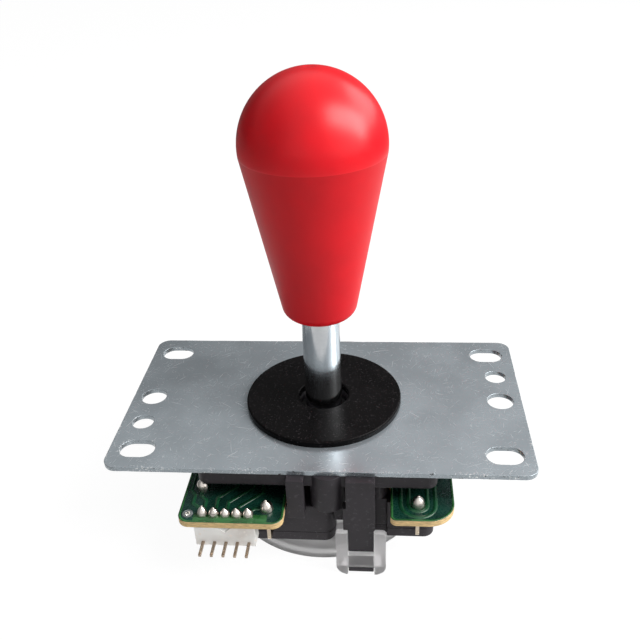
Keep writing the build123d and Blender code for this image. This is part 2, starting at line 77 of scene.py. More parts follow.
MM = 0.001
SIDES = ("front", "right", "back", "left")
MERGE = 0.002 * MM
FLAT = math.radians(0.6)
SHARP = math.radians(28)
LATHE_STEPS = 160
SCRATCH_TURNS = (9, 38, 71, 104, 133, 162)
WHITE = (1, 1, 1, 1)
PAINTED = ("Base Color", "Roughness", "Normal")


def triple(label, about, kind, values, **more):
    """A setting of three numbers."""
    return FloatVectorProperty(name=label, description=about, subtype=kind, size=3, default=values, **more)


def colour(label, *values):
    """A colour setting."""
    return triple(label, label + " of the finish", "COLOR", values, min=0.0, max=1.0)


def amount(label, about, value, **more):
    """A setting that isn't below nought."""
    return FloatProperty(name=label, description=about, default=value, min=0.0, **more)


def length(label, about, millimetres):
    """A length setting, given in millimetres."""
    return amount(label, about, millimetres * MM, unit="LENGTH")


class LeverFinish(bpy.types.PropertyGroup):
    """Colours of the lever's finishes."""

    bat_red: colour("Bat red", 0.84, 0.003, 0.012)
    zinc_light: colour("Zinc, light patches", 0.37, 0.418, 0.452)
    zinc_dark: colour("Zinc, dark patches", 0.318, 0.36, 0.39)
    washer_black: colour("Washer black", 0.0038, 0.0034, 0.0037)
    mould_black: colour("Housing black", 0.031, 0.0275, 0.032)
    switch_black: colour("Switch black", 0.029, 0.0255, 0.0295)
    mask_green: colour("Board green", 0.005, 0.036, 0.024)
    copper_green: colour("Green over copper", 0.011, 0.092, 0.037)
    rim_green: colour("Green along the board's rim", 0.036, 0.18, 0.048)
    laminate_tan: colour("Laminate edge", 0.80, 0.57, 0.27)
    header_white: colour("Header white", 0.96, 0.905, 0.85)
    pin_bronze: colour("Header pins", 0.40, 0.32, 0.25)
    clear_tint: colour("Clear gate", 0.9, 0.89, 0.895)


class LeverDetail(bpy.types.PropertyGroup):
    """Sizes of the fine detail."""

    plate_edge: length("Plate edge", "Roll of the plate's stamped edges", 0.12)
    plate_nick: length("Plate nicks", "Depth of the unevenness along the plate's sheared sides", 0.12)
    plate_wear: length("Plate wear", "Width of the worn band along the plate's edges", 1.2)
    mould_edge: length("Moulded edges", "Roundness of the housing's edges", 0.12)
    switch_edge: length("Switch edges", "Roundness of the switches' edges", 0.2)
    gate_edge: length("Gate edges", "Roundness of the clear gate's tabs", 0.15)
    disc_edge: length("Disc edges", "Roundness of the gate disc's edges", 0.1)
    header_edge: length("Header edges", "Roundness of the header's edges", 0.12)
    strip_edge: length("Strip edges", "Roundness of the pins' and strips' edges", 0.08)
    board_edge: length("Board edge", "Chamfer of the board's cut edges", 0.05)
    board_rim: length("Board rim", "Width of the pale band along the board's edges", 0.5)
    board_fill: length("Board fill", "Width of the copper area at the header", 2.2)
    trace_width: length("Trace width", "Width of a copper trace", 0.95)
    trace_height: length("Trace height", "Height of a trace under the solder mask", 0.012)
    trace_bend: length("Trace bend", "Radius at a trace's corners", 0.5)
    solder_foot: length("Solder foot", "Radius of a small solder joint at the board", 1.2)
    solder_height: length("Solder height", "Height of a small solder joint", 2.2)
    foot_reach: length("Bat foot", "Radius where the line of the bat's taper meets its foot", 8.1)
    foot_round: length("Bat rounding", "Roundness of the bat's foot", 2.8)
    seam_drop: length("Bat seam drop", "How far the bat's seam lies below its dome's centre", 1.45)
    seam_groove: length("Bat seam", "Depth of the groove where the dome meets the taper", 0.02)
    spring_wire: length("Spring wire", "Thickness of the spring's wire", 0.9)
    spring_room: length("Spring room", "Room above the spring's top coil as the lever tilts", 0.5)
    spring_turns: amount("Spring turns", "Turns of the spring", 5.5)
    seed: IntProperty(name="Seed", description="Seed of the solder cones' variation", default=5)


class LeverStage(bpy.types.PropertyGroup):
    """Camera and light."""

    camera_place: triple(
        "Camera place", "Where the camera stands", "TRANSLATION", (0.015172, -0.152103, 0.110998))
    camera_turn: triple(
        "Camera turn", "How the camera is turned", "EULER",
        tuple(math.radians(degrees) for degrees in (59.8285, 2.2524, 4.4253)))
    camera_lens: amount("Lens", "Focal length in millimetres", 43.275)
    ambient: amount("Ambient", "Light from the room's bright side", 0.5)
    room_dark: amount("Dark side", "Share of light on the room's dark side", 0.14)
    window_power: amount("Window", "Window light from the upper right", 4.4, unit="POWER")
    side_power: amount("Side", "Light from the right and behind", 1.3, unit="POWER")
    floor_white: amount("Floor", "Share of plain white in the floor", 0.88, max=1.0)


class Bench:
    """Short calls for building one node tree."""

    def __init__(self, tree):
        self.tree = tree

    def feed(self, socket, value):
        """Link an output to a socket, or set the socket's own value."""
        if isinstance(value, bpy.types.NodeSocket):
            self.tree.links.new(value, socket)
        else:
            socket.default_value = value

    def add(self, kind, feeds=None, **settings):
        """A node with its settings made and its sockets fed, by name or number."""
        node = self.tree.nodes.new(kind)
        for key, value in settings.items():
            setattr(node, key, value)
        for socket, value in (feeds or {}).items():
            self.feed(node.inputs[socket], value)
        return node

    def maths(self, operation, *terms):
        """One step of arithmetic with one, two or three terms."""
        return self.add("ShaderNodeMath", dict(enumerate(terms)), operation=operation).outputs[0]

    def times(self, first, *others):
        """A product."""
        for other in others:
            first = self.maths("MULTIPLY", first, other)
        return first

    def most(self, first, *others):
        """The largest of several values."""
        for other in others:
            first = self.maths("MAXIMUM", first, other)
        return first

    def less(self, first, second):
        """A difference."""
        return self.maths("SUBTRACT", first, second)

    def span(self, value, low, high, first=0.0, last=1.0):
        """A value moved smoothly from one span to another, and held at its ends."""
        feeds = {"Value": value, "From Min": low, "From Max": high, "To Min": first, "To Max": last}
        return self.add("ShaderNodeMapRange", feeds, interpolation_type="SMOOTHSTEP").outputs[0]

    def grain(self, where, scale, detail=2.0):
        """Smooth noise; scale counts its lumps in a metre."""
        feeds = {"Vector": where, "Scale": scale, "Detail": detail}
        return self.add("ShaderNodeTexNoise", feeds).outputs[0]

    def placed(self, where, turn=(0, 0, 0), scale=(1, 1, 1)):
        """Coordinates turned and scaled."""
        return self.add("ShaderNodeMapping", {"Vector": where, "Rotation": turn, "Scale": scale}).outputs[0]

    def mix(self, share, first, second):
        """One colour over another."""
        return self.add("ShaderNodeMix", {0: share, 6: first, 7: second}, data_type="RGBA").outputs[2]

    def axis(self, where, letter):
        """One coordinate."""
        return self.add("ShaderNodeSeparateXYZ", {0: where}).outputs[letter]

    def bump(self, height, depth, strength=1.0):
        """A surface normal from a height that runs from 0 to 1."""
        feeds = {"Height": height, "Distance": depth, "Strength": strength}
        return self.add("ShaderNodeBump", feeds).outputs[0]

    def group(self, make, *values):
        """A shared effect, placed with its own values in the order of its sockets."""
        return self.add("ShaderNodeGroup", dict(enumerate(values)), node_tree=shared(make)).outputs

    def shown(self):
        """1 where a camera or see-through ray lands, and 1 where a mirror ray does."""
        path = self.add("ShaderNodeLightPath").outputs
        return self.most(path["Is Camera Ray"], path["Is Transmission Ray"]), path["Is Glossy Ray"]

    def vector(self, operation, first, second):
        """The value that two vectors make."""
        return self.add("ShaderNodeVectorMath", {0: first, 1: second}, operation=operation).outputs["Value"]


def effect(name, kind, inputs, outputs):
    """A new node group with its sockets, its bench, its input sockets and its output node."""
    tree = bpy.data.node_groups.new(name, kind)
    for way, sockets in (("INPUT", inputs), ("OUTPUT", outputs)):
        for label, socket in sockets.items():
            tree.interface.new_socket(label, in_out=way, socket_type="NodeSocket" + socket)
    bench = Bench(tree)
    return tree, bench, bench.add("NodeGroupInput").outputs, bench.add("NodeGroupOutput")


def growth_tree(name, source, *numbers, **others):
    """A new Geometry Nodes tree that makes a mesh from a source, numbers and a material."""
    inputs = {source: "Geometry", **dict.fromkeys(numbers, "Float"), **others, "Finish": "Material"}
    return effect(name, "GeometryNodeTree", inputs, {"Mesh": "Geometry"})


def shared(make):
    """A node group named after its maker, built the first time that it is asked for."""
    name = make.__name__.replace("_", " ")
    return bpy.data.node_groups.get(name) or make(name)


def mottle(name):
    """Two tones in soft uneven patches."""
    inputs = {"Where": "Vector", "Scale": "Float", "First": "Color", "Second": "Color"}
    tree, bench, given, result = effect(name, "ShaderNodeTree", inputs, {"Colour": "Color", "Mask": "Float"})
    patches = bench.span(bench.grain(given["Where"], given["Scale"], 6.0), 0.36, 0.66)
    bench.feed(result.inputs["Colour"], bench.mix(patches, given["First"], given["Second"]))
    bench.feed(result.inputs["Mask"], patches)
    return tree


def scuffs(name):
    """Fine, slightly bent scratches that lie in several directions."""
    inputs = {"Where": "Vector", "Scale": "Float", "Threshold": "Float"}
    tree, bench, given, result = effect(name, "ShaderNodeTree", inputs, {"Mask": "Float"})
    lines = 0.0
    edge = bench.maths("ADD", given["Threshold"], 0.05)
    sway = bench.add("ShaderNodeTexNoise", {"Vector": given["Where"], "Scale": 45.0, "Detail": 1.0})
    feeds = {0: sway.outputs["Color"], 1: (6 * MM,) * 3, 2: given["Where"]}
    bent = bench.add("ShaderNodeVectorMath", feeds, operation="MULTIPLY_ADD").outputs[0]
    for degrees in SCRATCH_TURNS:
        along = bench.placed(bench.placed(bent, (0, 0, math.radians(degrees))), scale=(0.05, 1.0, 1.0))
        streak = bench.span(bench.grain(along, given["Scale"], 1.0), given["Threshold"], edge)
        lines = bench.most(lines, streak)
    bench.feed(result.inputs["Mask"], lines)
    return tree


def mould_texture(name):
    """The fine even texture of moulded plastic, and a mask of small flecks, which on the washer are painted
    glints.
    """
    inputs = {"Where": "Vector", "Scale": "Float"}
    tree, bench, given, result = effect(name, "ShaderNodeTree", inputs, {"Height": "Float", "Fleck": "Float"})
    fine = bench.grain(given["Where"], given["Scale"], 3.0)
    broad = bench.grain(given["Where"], bench.times(given["Scale"], 0.06), 2.0)
    bench.feed(result.inputs["Height"], bench.maths("MULTIPLY_ADD", broad, 0.4, fine))
    bench.feed(result.inputs["Fleck"], bench.span(fine, 0.60, 0.68))
    return tree


def opaque(tone):
    """A colour with its alpha."""
    return (*tone, 1.0)


def scaled(tone, share):
    """A lighter or darker tone of a colour."""
    return opaque([min(1.0, part * share) for part in tone])


def finish(name, paint, **plain):
    """A material: plain values stand on the shader's sockets, and paint makes those that vary."""
    made = bpy.data.materials.new(name)
    made.use_nodes = True
    shader = made.node_tree.nodes["Principled BSDF"]
    bench = Bench(made.node_tree)
    where = bench.add("ShaderNodeTexCoord").outputs["Object"]
    for key, value in plain.items():
        shader.inputs[key.replace("_", " ").title().replace("Ior", "IOR")].default_value = value
    for key, value in zip(PAINTED, paint(bench, where)):
        bench.feed(shader.inputs[key], value)
    return made


def moulded(name, tone, scale, depth, roughness, fleck_and_glint=1.8, shine=0.25):
    """A moulded plastic with its texture, bright flecks that on the washer are painted glints, and uneven
    gloss.
    """
    def paint(bench, where):
        texture = bench.group(mould_texture, where, scale)
        tones = bench.group(mottle, where, 140.0, scaled(tone, 0.85), scaled(tone, 1.15))
        return [
            bench.mix(texture["Fleck"], tones["Colour"], scaled(tone, fleck_and_glint)),
            bench.span(tones["Mask"], 0.0, 1.0, roughness - 0.05, roughness + 0.06),
            bench.bump(texture["Height"], depth * MM),
        ]
    return finish(name, paint, specular_ior_level=shine)


def metal(name, tone, roughness, scratches=0.66):
    """A bare metal with patches and fine scratches."""
    def paint(bench, where):
        tones = bench.group(mottle, where, 260.0, scaled(tone, 0.9), scaled(tone, 1.08))
        lines = bench.group(scuffs, where, 900.0, scratches)["Mask"]
        return [
            bench.mix(lines, tones["Colour"], scaled(tone, 1.5)),
            bench.span(tones["Mask"], 0.0, 1.0, roughness * 0.85, roughness * 1.2),
            bench.bump(lines, 0.002 * MM, 0.4),
        ]
    return finish(name, paint, metallic=1.0)


def merged(node):
    """A copy of a CAD node's mesh, its corners merged and its flat faces joined."""
    shell = bmesh.new()
    shell.from_mesh(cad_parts[node].data)
    bmesh.ops.remove_doubles(shell, verts=shell.verts, dist=MERGE)
    bmesh.ops.dissolve_limit(shell, angle_limit=FLAT, verts=shell.verts, edges=shell.edges)
    return shell


def rounded(shell, width, steps=2, kept=None):
    """The shell with its sharp edges rounded, apart from those that kept says to leave."""
    edges = [edge for edge in shell.edges if edge.calc_face_angle(0.0) > SHARP]
    if kept:
        edges = [edge for edge in edges if not kept((edge.verts[0].co + edge.verts[1].co) / 2)]
    bmesh.ops.bevel(
        shell, geom=edges, offset=width, offset_type="OFFSET", segments=steps, profile=0.5,
        affect="EDGES", clamp_overlap=False,
    )
    return shell


def outline_route(node, inset):
    """A node's outer outline at its top, moved inwards, as (x, y) points in millimetres."""
    shell = merged(node)
    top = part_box(node)[1].z
    links = {}
    for edge in shell.edges:
        level = all(abs(vert.co.z - top) < MERGE for vert in edge.verts)
        if level and edge.calc_face_angle(0.0) > SHARP:
            for vert in edge.verts:
                links.setdefault(vert, []).append(edge.other_vert(vert))
    start = min(links, key=lambda vert: (vert.co.x, vert.co.y))
    loop = [start, max(links[start], key=lambda vert: vert.co.y)]
    while loop[-1] is not start:
        loop.append(next(vert for vert in links[loop[-1]] if vert is not loop[-2]))
    points = [vert.co.to_2d() for vert in loop[:-1]]
    shell.free()
    route = []
    for i, point in enumerate(points):
        before = (point - points[i - 1]).normalized()
        after = (points[(i + 1) % len(points)] - point).normalized()
        inward = Vector((before.y + after.y, -before.x - after.x)).normalized()
        reach = inset / max(0.5, inward.dot(Vector((after.y, -after.x))))
        route.append(tuple((point + inward * reach) / MM))
    return route


def arc(first, last, steps):
    """Evenly spaced turns from the first to the last."""
    return [first + (last - first) * step / steps for step in range(steps + 1)]


def lathe(profile):
    """A closed shell turned about the lever's axis from (radius, height) points."""
    shell = bmesh.new()
    rings = []
    for radius, height in profile:
        turns = [2 * math.pi * step / LATHE_STEPS for step in range(LATHE_STEPS if radius else 1)]
        rings.append([shell.verts.new((radius * math.cos(t), radius * math.sin(t), height)) for t in turns])
    for lower, upper in zip(rings, rings[1:]):
        for step in range(LATHE_STEPS):
            corners = [lower[step % len(lower)], lower[(step + 1) % len(lower)]]
            corners += [upper[(step + 1) % len(upper)], upper[step % len(upper)]]
            shell.faces.new(list(dict.fromkeys(corners)))
    bmesh.ops.recalc_face_normals(shell, faces=shell.faces)
    return shell


def islands(node):
    """The lowest and highest corners of each loose part of a CAD node."""
    shell = merged(node)
    waiting = set(shell.verts)
    boxes = []
    while waiting:
        reach = [waiting.pop()]
        part = []
        while reach:
            vert = reach.pop()
            part.append(vert.co.copy())
            near = {edge.other_vert(vert) for edge in vert.link_edges} & waiting
            waiting -= near
            reach.extend(near)
        axes = list(zip(*part))
        boxes.append(([min(axis) for axis in axes], [max(axis) for axis in axes]))
    shell.free()
    return sorted(boxes)


def frozen(piece):
    """What an object's modifiers make, as a plain mesh."""
    graph = bpy.context.evaluated_depsgraph_get()
    made = piece.evaluated_get(graph)
    return bpy.data.meshes.new_from_object(made, preserve_all_data_layers=True, depsgraph=graph)


def placed_object(name, data):
    """A new object in the scene."""
    made = bpy.data.objects.new(name, data)
    bpy.context.scene.collection.objects.link(made)
    return made


def settled(name, shell, finishes, crease=40.0):
    """An object from a shell, smooth shaded with flat faces kept flat."""
    mesh = bpy.data.meshes.new(name)
    shell.to_mesh(mesh)
    shell.free()
    for material in finishes:
        mesh.materials.append(material)
    mesh.shade_smooth()
    mesh.set_sharp_from_angle(angle=math.radians(crease))
    piece = placed_object(name, mesh)
    piece.modifiers.new("flat faces", "WEIGHTED_NORMAL").keep_sharp = True
    piece.data = frozen(piece)
    piece.modifiers.clear()
    bpy.data.meshes.remove(mesh)
    piece.data.name = name
    return piece


def grown(name, tree, source, values):
    """An object with the plain mesh that a Geometry Nodes tree makes from a source object."""
    growth = source.modifiers.new("growth", "NODES")
    growth.node_group = tree
    for socket in tree.interface.items_tree:
        if socket.in_out == "INPUT" and socket.name in values:
            growth[socket.identifier] = values[socket.name]
    mesh = frozen(source)
    bpy.data.objects.remove(source)
    mesh.name = name
    return placed_object(name, mesh)


def ended(bench, result, mesh, material):
    """The end of a Geometry Nodes tree: its instances made real and its material set."""
    whole = bench.add("GeometryNodeRealizeInstances", {0: mesh})
    coat = bench.add("GeometryNodeSetMaterial", {"Geometry": whole.outputs[0], "Material": material})
    bench.feed(result.inputs[0], coat.outputs[0])


def carried(piece, body, slot, *nodes):
    """The piece rides on a body and stands for CAD nodes; the slot is not used."""
    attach(piece, body)
    if nodes:
        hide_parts(*nodes)
    return piece


def softened(name, node, width, material, slot, kept=None):
    """A fixed CAD node made again with soft edges, apart from those that kept says to leave."""
    shell = rounded(merged(node), width, kept=kept)
    return carried(settled(name, shell, [material]), "base", slot, node)


def dressed(node, material):
    """A CAD node that keeps its shape gets a better material."""
    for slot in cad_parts[node].material_slots:
        slot.material = material


def settings(context):
    """The scene's finishes and fine sizes."""
    return context.scene.lever_finish, context.scene.lever_detail


def aimed_light(name, place, along, size, power):
    """A soft light that faces the lever's middle, with its long side along a direction."""
    lamp = bpy.data.lights.new(name, "AREA")
    lamp.energy = power
    lamp.shape = "RECTANGLE"
    lamp.size, lamp.size_y = size
    lamp.color = (1.0, 0.99, 0.975)
    middle = Vector((0, 0, 30 * MM))
    back = (Vector(place) - middle).normalized()
    side = (Vector(along) - back * back.dot(Vector(along))).normalized()
    made = placed_object(name, lamp)
    made.location = place
    made.rotation_euler = Matrix((side, back.cross(side), back)).transposed().to_euler()


class LEVER_OT_stage(bpy.types.Operator):
    """Set the floor, the light and the camera"""

    bl_idname = "lever.stage"
    bl_label = "Stage"

    def execute(self, context):
        scene = context.scene
        stage = scene.lever_stage
        scene.view_settings.view_transform = "Standard"
        self.make_world(scene, stage)
        self.make_floor(stage)
        aimed_light("window", (0.45, -0.10, 0.40), (0.83, 0.65, -0.65), (0.62, 0.28), stage.window_power)
        aimed_light("side", (0.46, 0.36, 0.36), (0, 0, 1), (0.4, 0.4), stage.side_power)
        lens = bpy.data.cameras.new("photo angle")
        lens.lens = stage.camera_lens
        lens.sensor_width = 36.0
        lens.clip_start = 0.005
        camera = placed_object("photo angle", lens)
        camera.location = stage.camera_place
        camera.rotation_euler = stage.camera_turn
        scene.camera = camera
        return {"FINISHED"}

    def make_world(self, scene, stage):
        """A room brighter to the upper right, white where it is seen, and lit overhead for mirror rays."""
        world = bpy.data.worlds.new("studio")
        world.use_nodes = True
        scene.world = world
        bench = Bench(world.node_tree)
        seen, mirrored = bench.shown()
        way = bench.add("ShaderNodeTexCoord").outputs["Generated"]
        window_side = bench.vector("DOT_PRODUCT", way, (0.6, 0.2, 0.75))
        room = bench.span(window_side, 0.0, 1.0, stage.room_dark, 1.0)
        ceiling = bench.vector("DOT_PRODUCT", way, (0.05, -0.7, 1.0))
        overhead = bench.span(ceiling, -0.1, 0.2, stage.room_dark, 1.0)
        side = bench.axis(way, "X")
        left = bench.span(side, -0.9, -0.2, 0.3, 1.0)
        right = bench.span(side, 0.3, 0.9, 1.0, 1.9)
        feeds = {0: mirrored, 2: bench.times(room, stage.ambient), 3: bench.times(overhead, left, right)}
        level = bench.add("ShaderNodeMix", feeds).outputs[0]
        light = world.node_tree.nodes["Background"].inputs
        bench.feed(light["Strength"], bench.most(seen, level))
        light["Color"].default_value = WHITE

    def make_floor(self, stage):
        """A pale floor that keeps the object's shadow, with a painted pool of light that mirror rays see
        round the lever.
        """
        low = cad_box[0][2]
        shell = bmesh.new()
        bmesh.ops.create_circle(shell, cap_ends=True, radius=1.5, segments=96)
        bmesh.ops.translate(shell, verts=shell.verts, vec=(0, 0, low - 0.05 * MM))

        def paint(bench, where):
            tone = bench.grain(where, 6.0)
            return [bench.mix(tone, (0.84, 0.84, 0.84, 1), (0.88, 0.88, 0.88, 1))]
        pale = finish("floor white", paint, roughness=0.9)
        bench = Bench(pale.node_tree)
        nodes = pale.node_tree.nodes
        seen, mirrored = bench.shown()
        where = bench.add("ShaderNodeTexCoord").outputs["Object"]
        # Painted pool of light: mirror rays see the floor glow brightest near the lever and dim further out.
        pool = bench.vector("DISTANCE", where, (0.02, 0.07, low))
        room = bench.span(pool, 0.1, 0.26, 1.0, stage.room_dark)
        level = bench.most(bench.times(seen, 1.08), bench.times(mirrored, room))
        glow = bench.add("ShaderNodeEmission", {"Color": WHITE, "Strength": level}).outputs[0]
        share = bench.most(bench.times(seen, stage.floor_white), mirrored)
        both = bench.add("ShaderNodeMixShader", {0: share, 1: nodes["Principled BSDF"].outputs[0], 2: glow})
        bench.feed(nodes["Material Output"].inputs["Surface"], both.outputs[0])
        settled("floor", shell, [pale])


class LEVER_OT_bat(bpy.types.Operator):
    """Turn the red bat with its glossy dome, satin taper darkened as painted shade, and seam"""

    bl_idname = "lever.bat"
    bl_label = "Bat handle"

    def execute(self, context):
        tones, detail = settings(context)
        low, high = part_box("bat_handle")
        dome_r = high.x
        dome_z = high.z - dome_r
        seam_z = dome_z - detail.seam_drop
        seam_r = math.sqrt(dome_r ** 2 - (dome_z - seam_z) ** 2)
        profile = self.foot_points(detail, low.z, seam_r, seam_z)
        profile += [(seam_r - detail.seam_groove, seam_z + 0.02 * MM), (seam_r, seam_z + 0.07 * MM)]
        first = math.asin((seam_z - dome_z) / dome_r) + 0.012
        for turn in arc(first, math.radians(86.4), 47):
            profile.append((dome_r * math.cos(turn), dome_z + dome_r * math.sin(turn)))
        mark_r = profile[-1][0]
        for share, drop in ((0.9, 0.07), (0.4, 0.05), (0, 0.05)):
            profile.append((mark_r * share, high.z - drop * MM))
        shell = lathe(profile)
        for face in shell.faces:
            face.material_index = 0 if face.calc_center_median().z > seam_z else 1
        glossy = self.red("bat dome red", tones.bat_red, 0.28, 0.42)
        # The taper's red is darker than the dome's: painted shade for a taper that leans down, away from the
        # light.
        satin_and_shade = self.red("bat taper red with painted shade", [part * 0.82 for part in tones.bat_red], 0.42, 0.25)
        bat = settled("bat_top", shell, [glossy, satin_and_shade], 60.0)
        carried(bat, "lever", "bat_red", "bat_handle")
        dressed("handle_insert", metal("insert brass", (0.75, 0.58, 0.28), 0.3))
        return {"FINISHED"}

    def foot_points(self, detail, low, seam_r, seam_z):
        """The bore, the flat foot, its rounding and the top of the taper."""
        insert_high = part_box("handle_insert")[1]
        gap = 0.03 * MM
        bore = insert_high.x + gap
        curve = detail.foot_round
        lean = math.atan2(seam_r - detail.foot_reach, seam_z - low)
        centre_r = detail.foot_reach - curve * math.tan((math.pi / 2 - lean) / 2)
        points = [(0, insert_high.z + gap), (bore, insert_high.z + gap), (bore, low)]
        for turn in arc(-math.pi / 2, -lean, 12):
            points.append((centre_r + curve * math.cos(turn), low + curve + curve * math.sin(turn)))
        base_r, base_z = points[-1]
        for share in (0.25, 0.5, 0.75, 0.995):
            points.append((base_r + (seam_r - base_r) * share, base_z + (seam_z - base_z) * share))
        return points

    def red(self, name, tone, roughness, shine):
        """Red plastic with faint uneven patches."""
        def paint(bench, where):
            texture = bench.group(mould_texture, where, 1500.0)
            tones = bench.group(mottle, where, 70.0, scaled(tone, 0.94), scaled(tone, 1.05))
            return [
                tones["Colour"],
                bench.span(tones["Mask"], 0.0, 1.0, roughness, roughness + 0.05),
                bench.bump(texture["Height"], 0.004 * MM),
            ]
        return finish(name, paint, specular_ior_level=shine)


class LEVER_OT_plate(bpy.types.Operator):
    """Make the stamped plate with its rolled, nicked edges, and dress its screws"""

    bl_idname = "lever.plate"
    bl_label = "Mounting plate"

    def execute(self, context):
        tones, detail = settings(context)
        shell = merged("mounting_plate")
        self.nick_sides(shell, detail.plate_nick)
        rounded(shell, detail.plate_edge, 3)
        zinc = self.zinc(tones.zinc_light, tones.zinc_dark, detail.plate_wear)
        carried(settled("steel_plate", shell, [zinc]), "base", "plate_steel", "mounting_plate")
        dressed("plate_screws", metal("screw plating", (0.55, 0.55, 0.54), 0.3))
        return {"FINISHED"}

    def nick_sides(self, shell, depth):
        """Uneven sheared sides, as the stamping left them."""
        low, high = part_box("mounting_plate")
        corner, shortest, cuts = 4 * MM, 5 * MM, 90
        broad, fine = 420, 1900
        sides = []

        def spot(vert):
            """Where a corner stands on the plate."""
            return round(vert.co.x / MERGE), round(vert.co.y / MERGE)

        for edge in shell.edges:
            first, last = [vert.co for vert in edge.verts]
            still = [abs(part) < MERGE for part in last - first]
            along = any(still[axis] and abs(abs(first[axis]) - high[axis]) < MERGE for axis in (0, 1))
            if still[2] and along and edge.calc_length() > shortest:
                sides.append(edge)
        bmesh.ops.bisect_edges(shell, edges=sides, cuts=cuts)
        above = {spot(vert): vert for vert in shell.verts if vert.co.z > high.z - MERGE}
        for vert in [vert for vert in shell.verts if vert.co.z < low.z + MERGE]:
            partner = above.get(spot(vert))
            if partner and not shell.edges.get((vert, partner)):
                bmesh.ops.connect_vert_pair(shell, verts=[vert, partner])
        for vert in shell.verts:
            place = vert.co
            for axis in (0, 1):
                on_side = abs(abs(place[axis]) - high[axis]) < MERGE
                if on_side and abs(place[1 - axis]) < high[1 - axis] - corner:
                    bays = noise.noise((place.x * broad, place.y * broad, 3.7)) - 0.12
                    teeth = noise.noise((place.x * fine, place.y * fine, 8.1))
                    inward = max(0.0, bays) * depth + max(0.0, teeth) * depth * 0.35
                    place[axis] -= math.copysign(inward, place[axis])

    def from_edges(self, bench, where):
        """How far a place lies from the plate's sides and from the rims of its corner slots."""
        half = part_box("mounting_plate")[1]
        inset, slot_r, slot_half = 6.5 * MM, 2.9 * MM, 1.2025 * MM
        from_x = bench.less(half.x, bench.maths("ABSOLUTE", bench.axis(where, "X")))
        from_y = bench.less(half.y, bench.maths("ABSOLUTE", bench.axis(where, "Y")))
        slot_x = bench.maths("ABSOLUTE", bench.less(from_x, inset))
        slot_x = bench.less(bench.most(slot_x, slot_half), slot_half)
        slot_y = bench.less(from_y, inset)
        squares = bench.maths("ADD", bench.maths("POWER", slot_x, 2.0), bench.maths("POWER", slot_y, 2.0))
        rim = bench.less(bench.maths("SQRT", squares), slot_r)
        return bench.maths("MINIMUM", bench.maths("MINIMUM", from_x, from_y), rim)

    def zinc(self, light, dark, wear):
        """Zinc plating: cloudy patches, fine scratches, bright nicks and dark pits along the edges."""
        def paint(bench, where):
            tones = bench.group(mottle, where, 75.0, opaque(dark), opaque(light))
            long_lines = bench.times(bench.group(scuffs, where, 2200.0, 0.735)["Mask"], 0.36)
            short_lines = bench.times(bench.group(scuffs, where, 4200.0, 0.72)["Mask"], 0.32)
            lines = bench.most(long_lines, short_lines)
            worn = bench.span(self.from_edges(bench, where), 0.0, wear, 1.0, 0.0)
            patch = bench.span(bench.grain(where, 160.0), 0.47, 0.58)
            nicks = bench.times(worn, patch, bench.span(bench.grain(where, 2000.0, 3.0), 0.56, 0.64))
            pits = bench.times(worn, bench.span(bench.grain(where, 1300.0, 3.0), 0.65, 0.7))
            flecks = bench.span(bench.grain(where, 1500.0, 1.0), 0.74, 0.77)
            specks = bench.times(flecks, bench.span(bench.grain(where, 90.0, 1.0), 0.5, 0.6))
            cloud = bench.mix(lines, tones["Colour"], (0.76, 0.80, 0.82, 1))
            bright = bench.mix(bench.most(nicks, specks), cloud, (0.78, 0.8, 0.81, 1))
            gloss = bench.span(tones["Mask"], 0.0, 1.0, 0.235, 0.27)
            marks = bench.times(bench.most(lines, nicks, pits), -1.0)
            height = bench.maths("MULTIPLY_ADD", bench.grain(where, 5000.0), 0.3, marks)
            return [
                bench.mix(pits, bright, (0.05, 0.05, 0.05, 1)),
                bench.maths("MULTIPLY_ADD", lines, 0.15, gloss),
                bench.bump(height, 0.01 * MM, 0.5),
            ]
        return finish("zinc plate", paint, metallic=0.5)


class LEVER_OT_washer(bpy.types.Operator):
    """Dress the loose dust washer in stippled black with painted glints"""

    bl_idname = "lever.washer"
    bl_label = "Dust washer"

    def execute(self, context):
        tone = context.scene.lever_finish.washer_black
        # The washer's bright flecks, 8 times its black, are painted glints: sparkle of light on its stipple.
        dressed("dust_washer", moulded("washer stipple", tone, 2400.0, 0.03, 0.3, fleck_and_glint=8.0, shine=0.06))
        return {"FINISHED"}


class LEVER_OT_shaft(bpy.types.Operator):
    """Dress the polished shaft"""

    bl_idname = "lever.shaft"
    bl_label = "Shaft"

    def execute(self, context):
        def paint(bench, where):
            rings = bench.grain(bench.placed(where, scale=(0.05, 0.05, 1.0)), 4200.0)
            tones = bench.group(mottle, where, 150.0, (0.60, 0.62, 0.64, 1), (0.70, 0.72, 0.73, 1))
            return [
                tones["Colour"],
                bench.span(rings, 0.3, 0.7, 0.13, 0.2),
                bench.bump(rings, 0.002 * MM, 0.35),
            ]
        dressed("shaft", finish("polished shaft", paint, metallic=1.0))
        return {"FINISHED"}


class LEVER_OT_housing(bpy.types.Operator):
    """Make the black moulded housing with its soft edges"""

    bl_idname = "lever.housing"
    bl_label = "Housing"

    def execute(self, context):
        tones, detail = settings(context)
        flange_half = -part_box("front_switch_case")[0].y + 0.18 * MM

        def hidden(place):
            """All but the flange's rim and what stands out from it."""
            return max(abs(place.x), abs(place.y)) < flange_half

        black = moulded("housing black", tones.mould_black, 1100.0, 0.02, 0.5)
        softened("moulded_housing", "housing", detail.mould_edge, black, "housing_plastic", hidden)
        return {"FINISHED"}


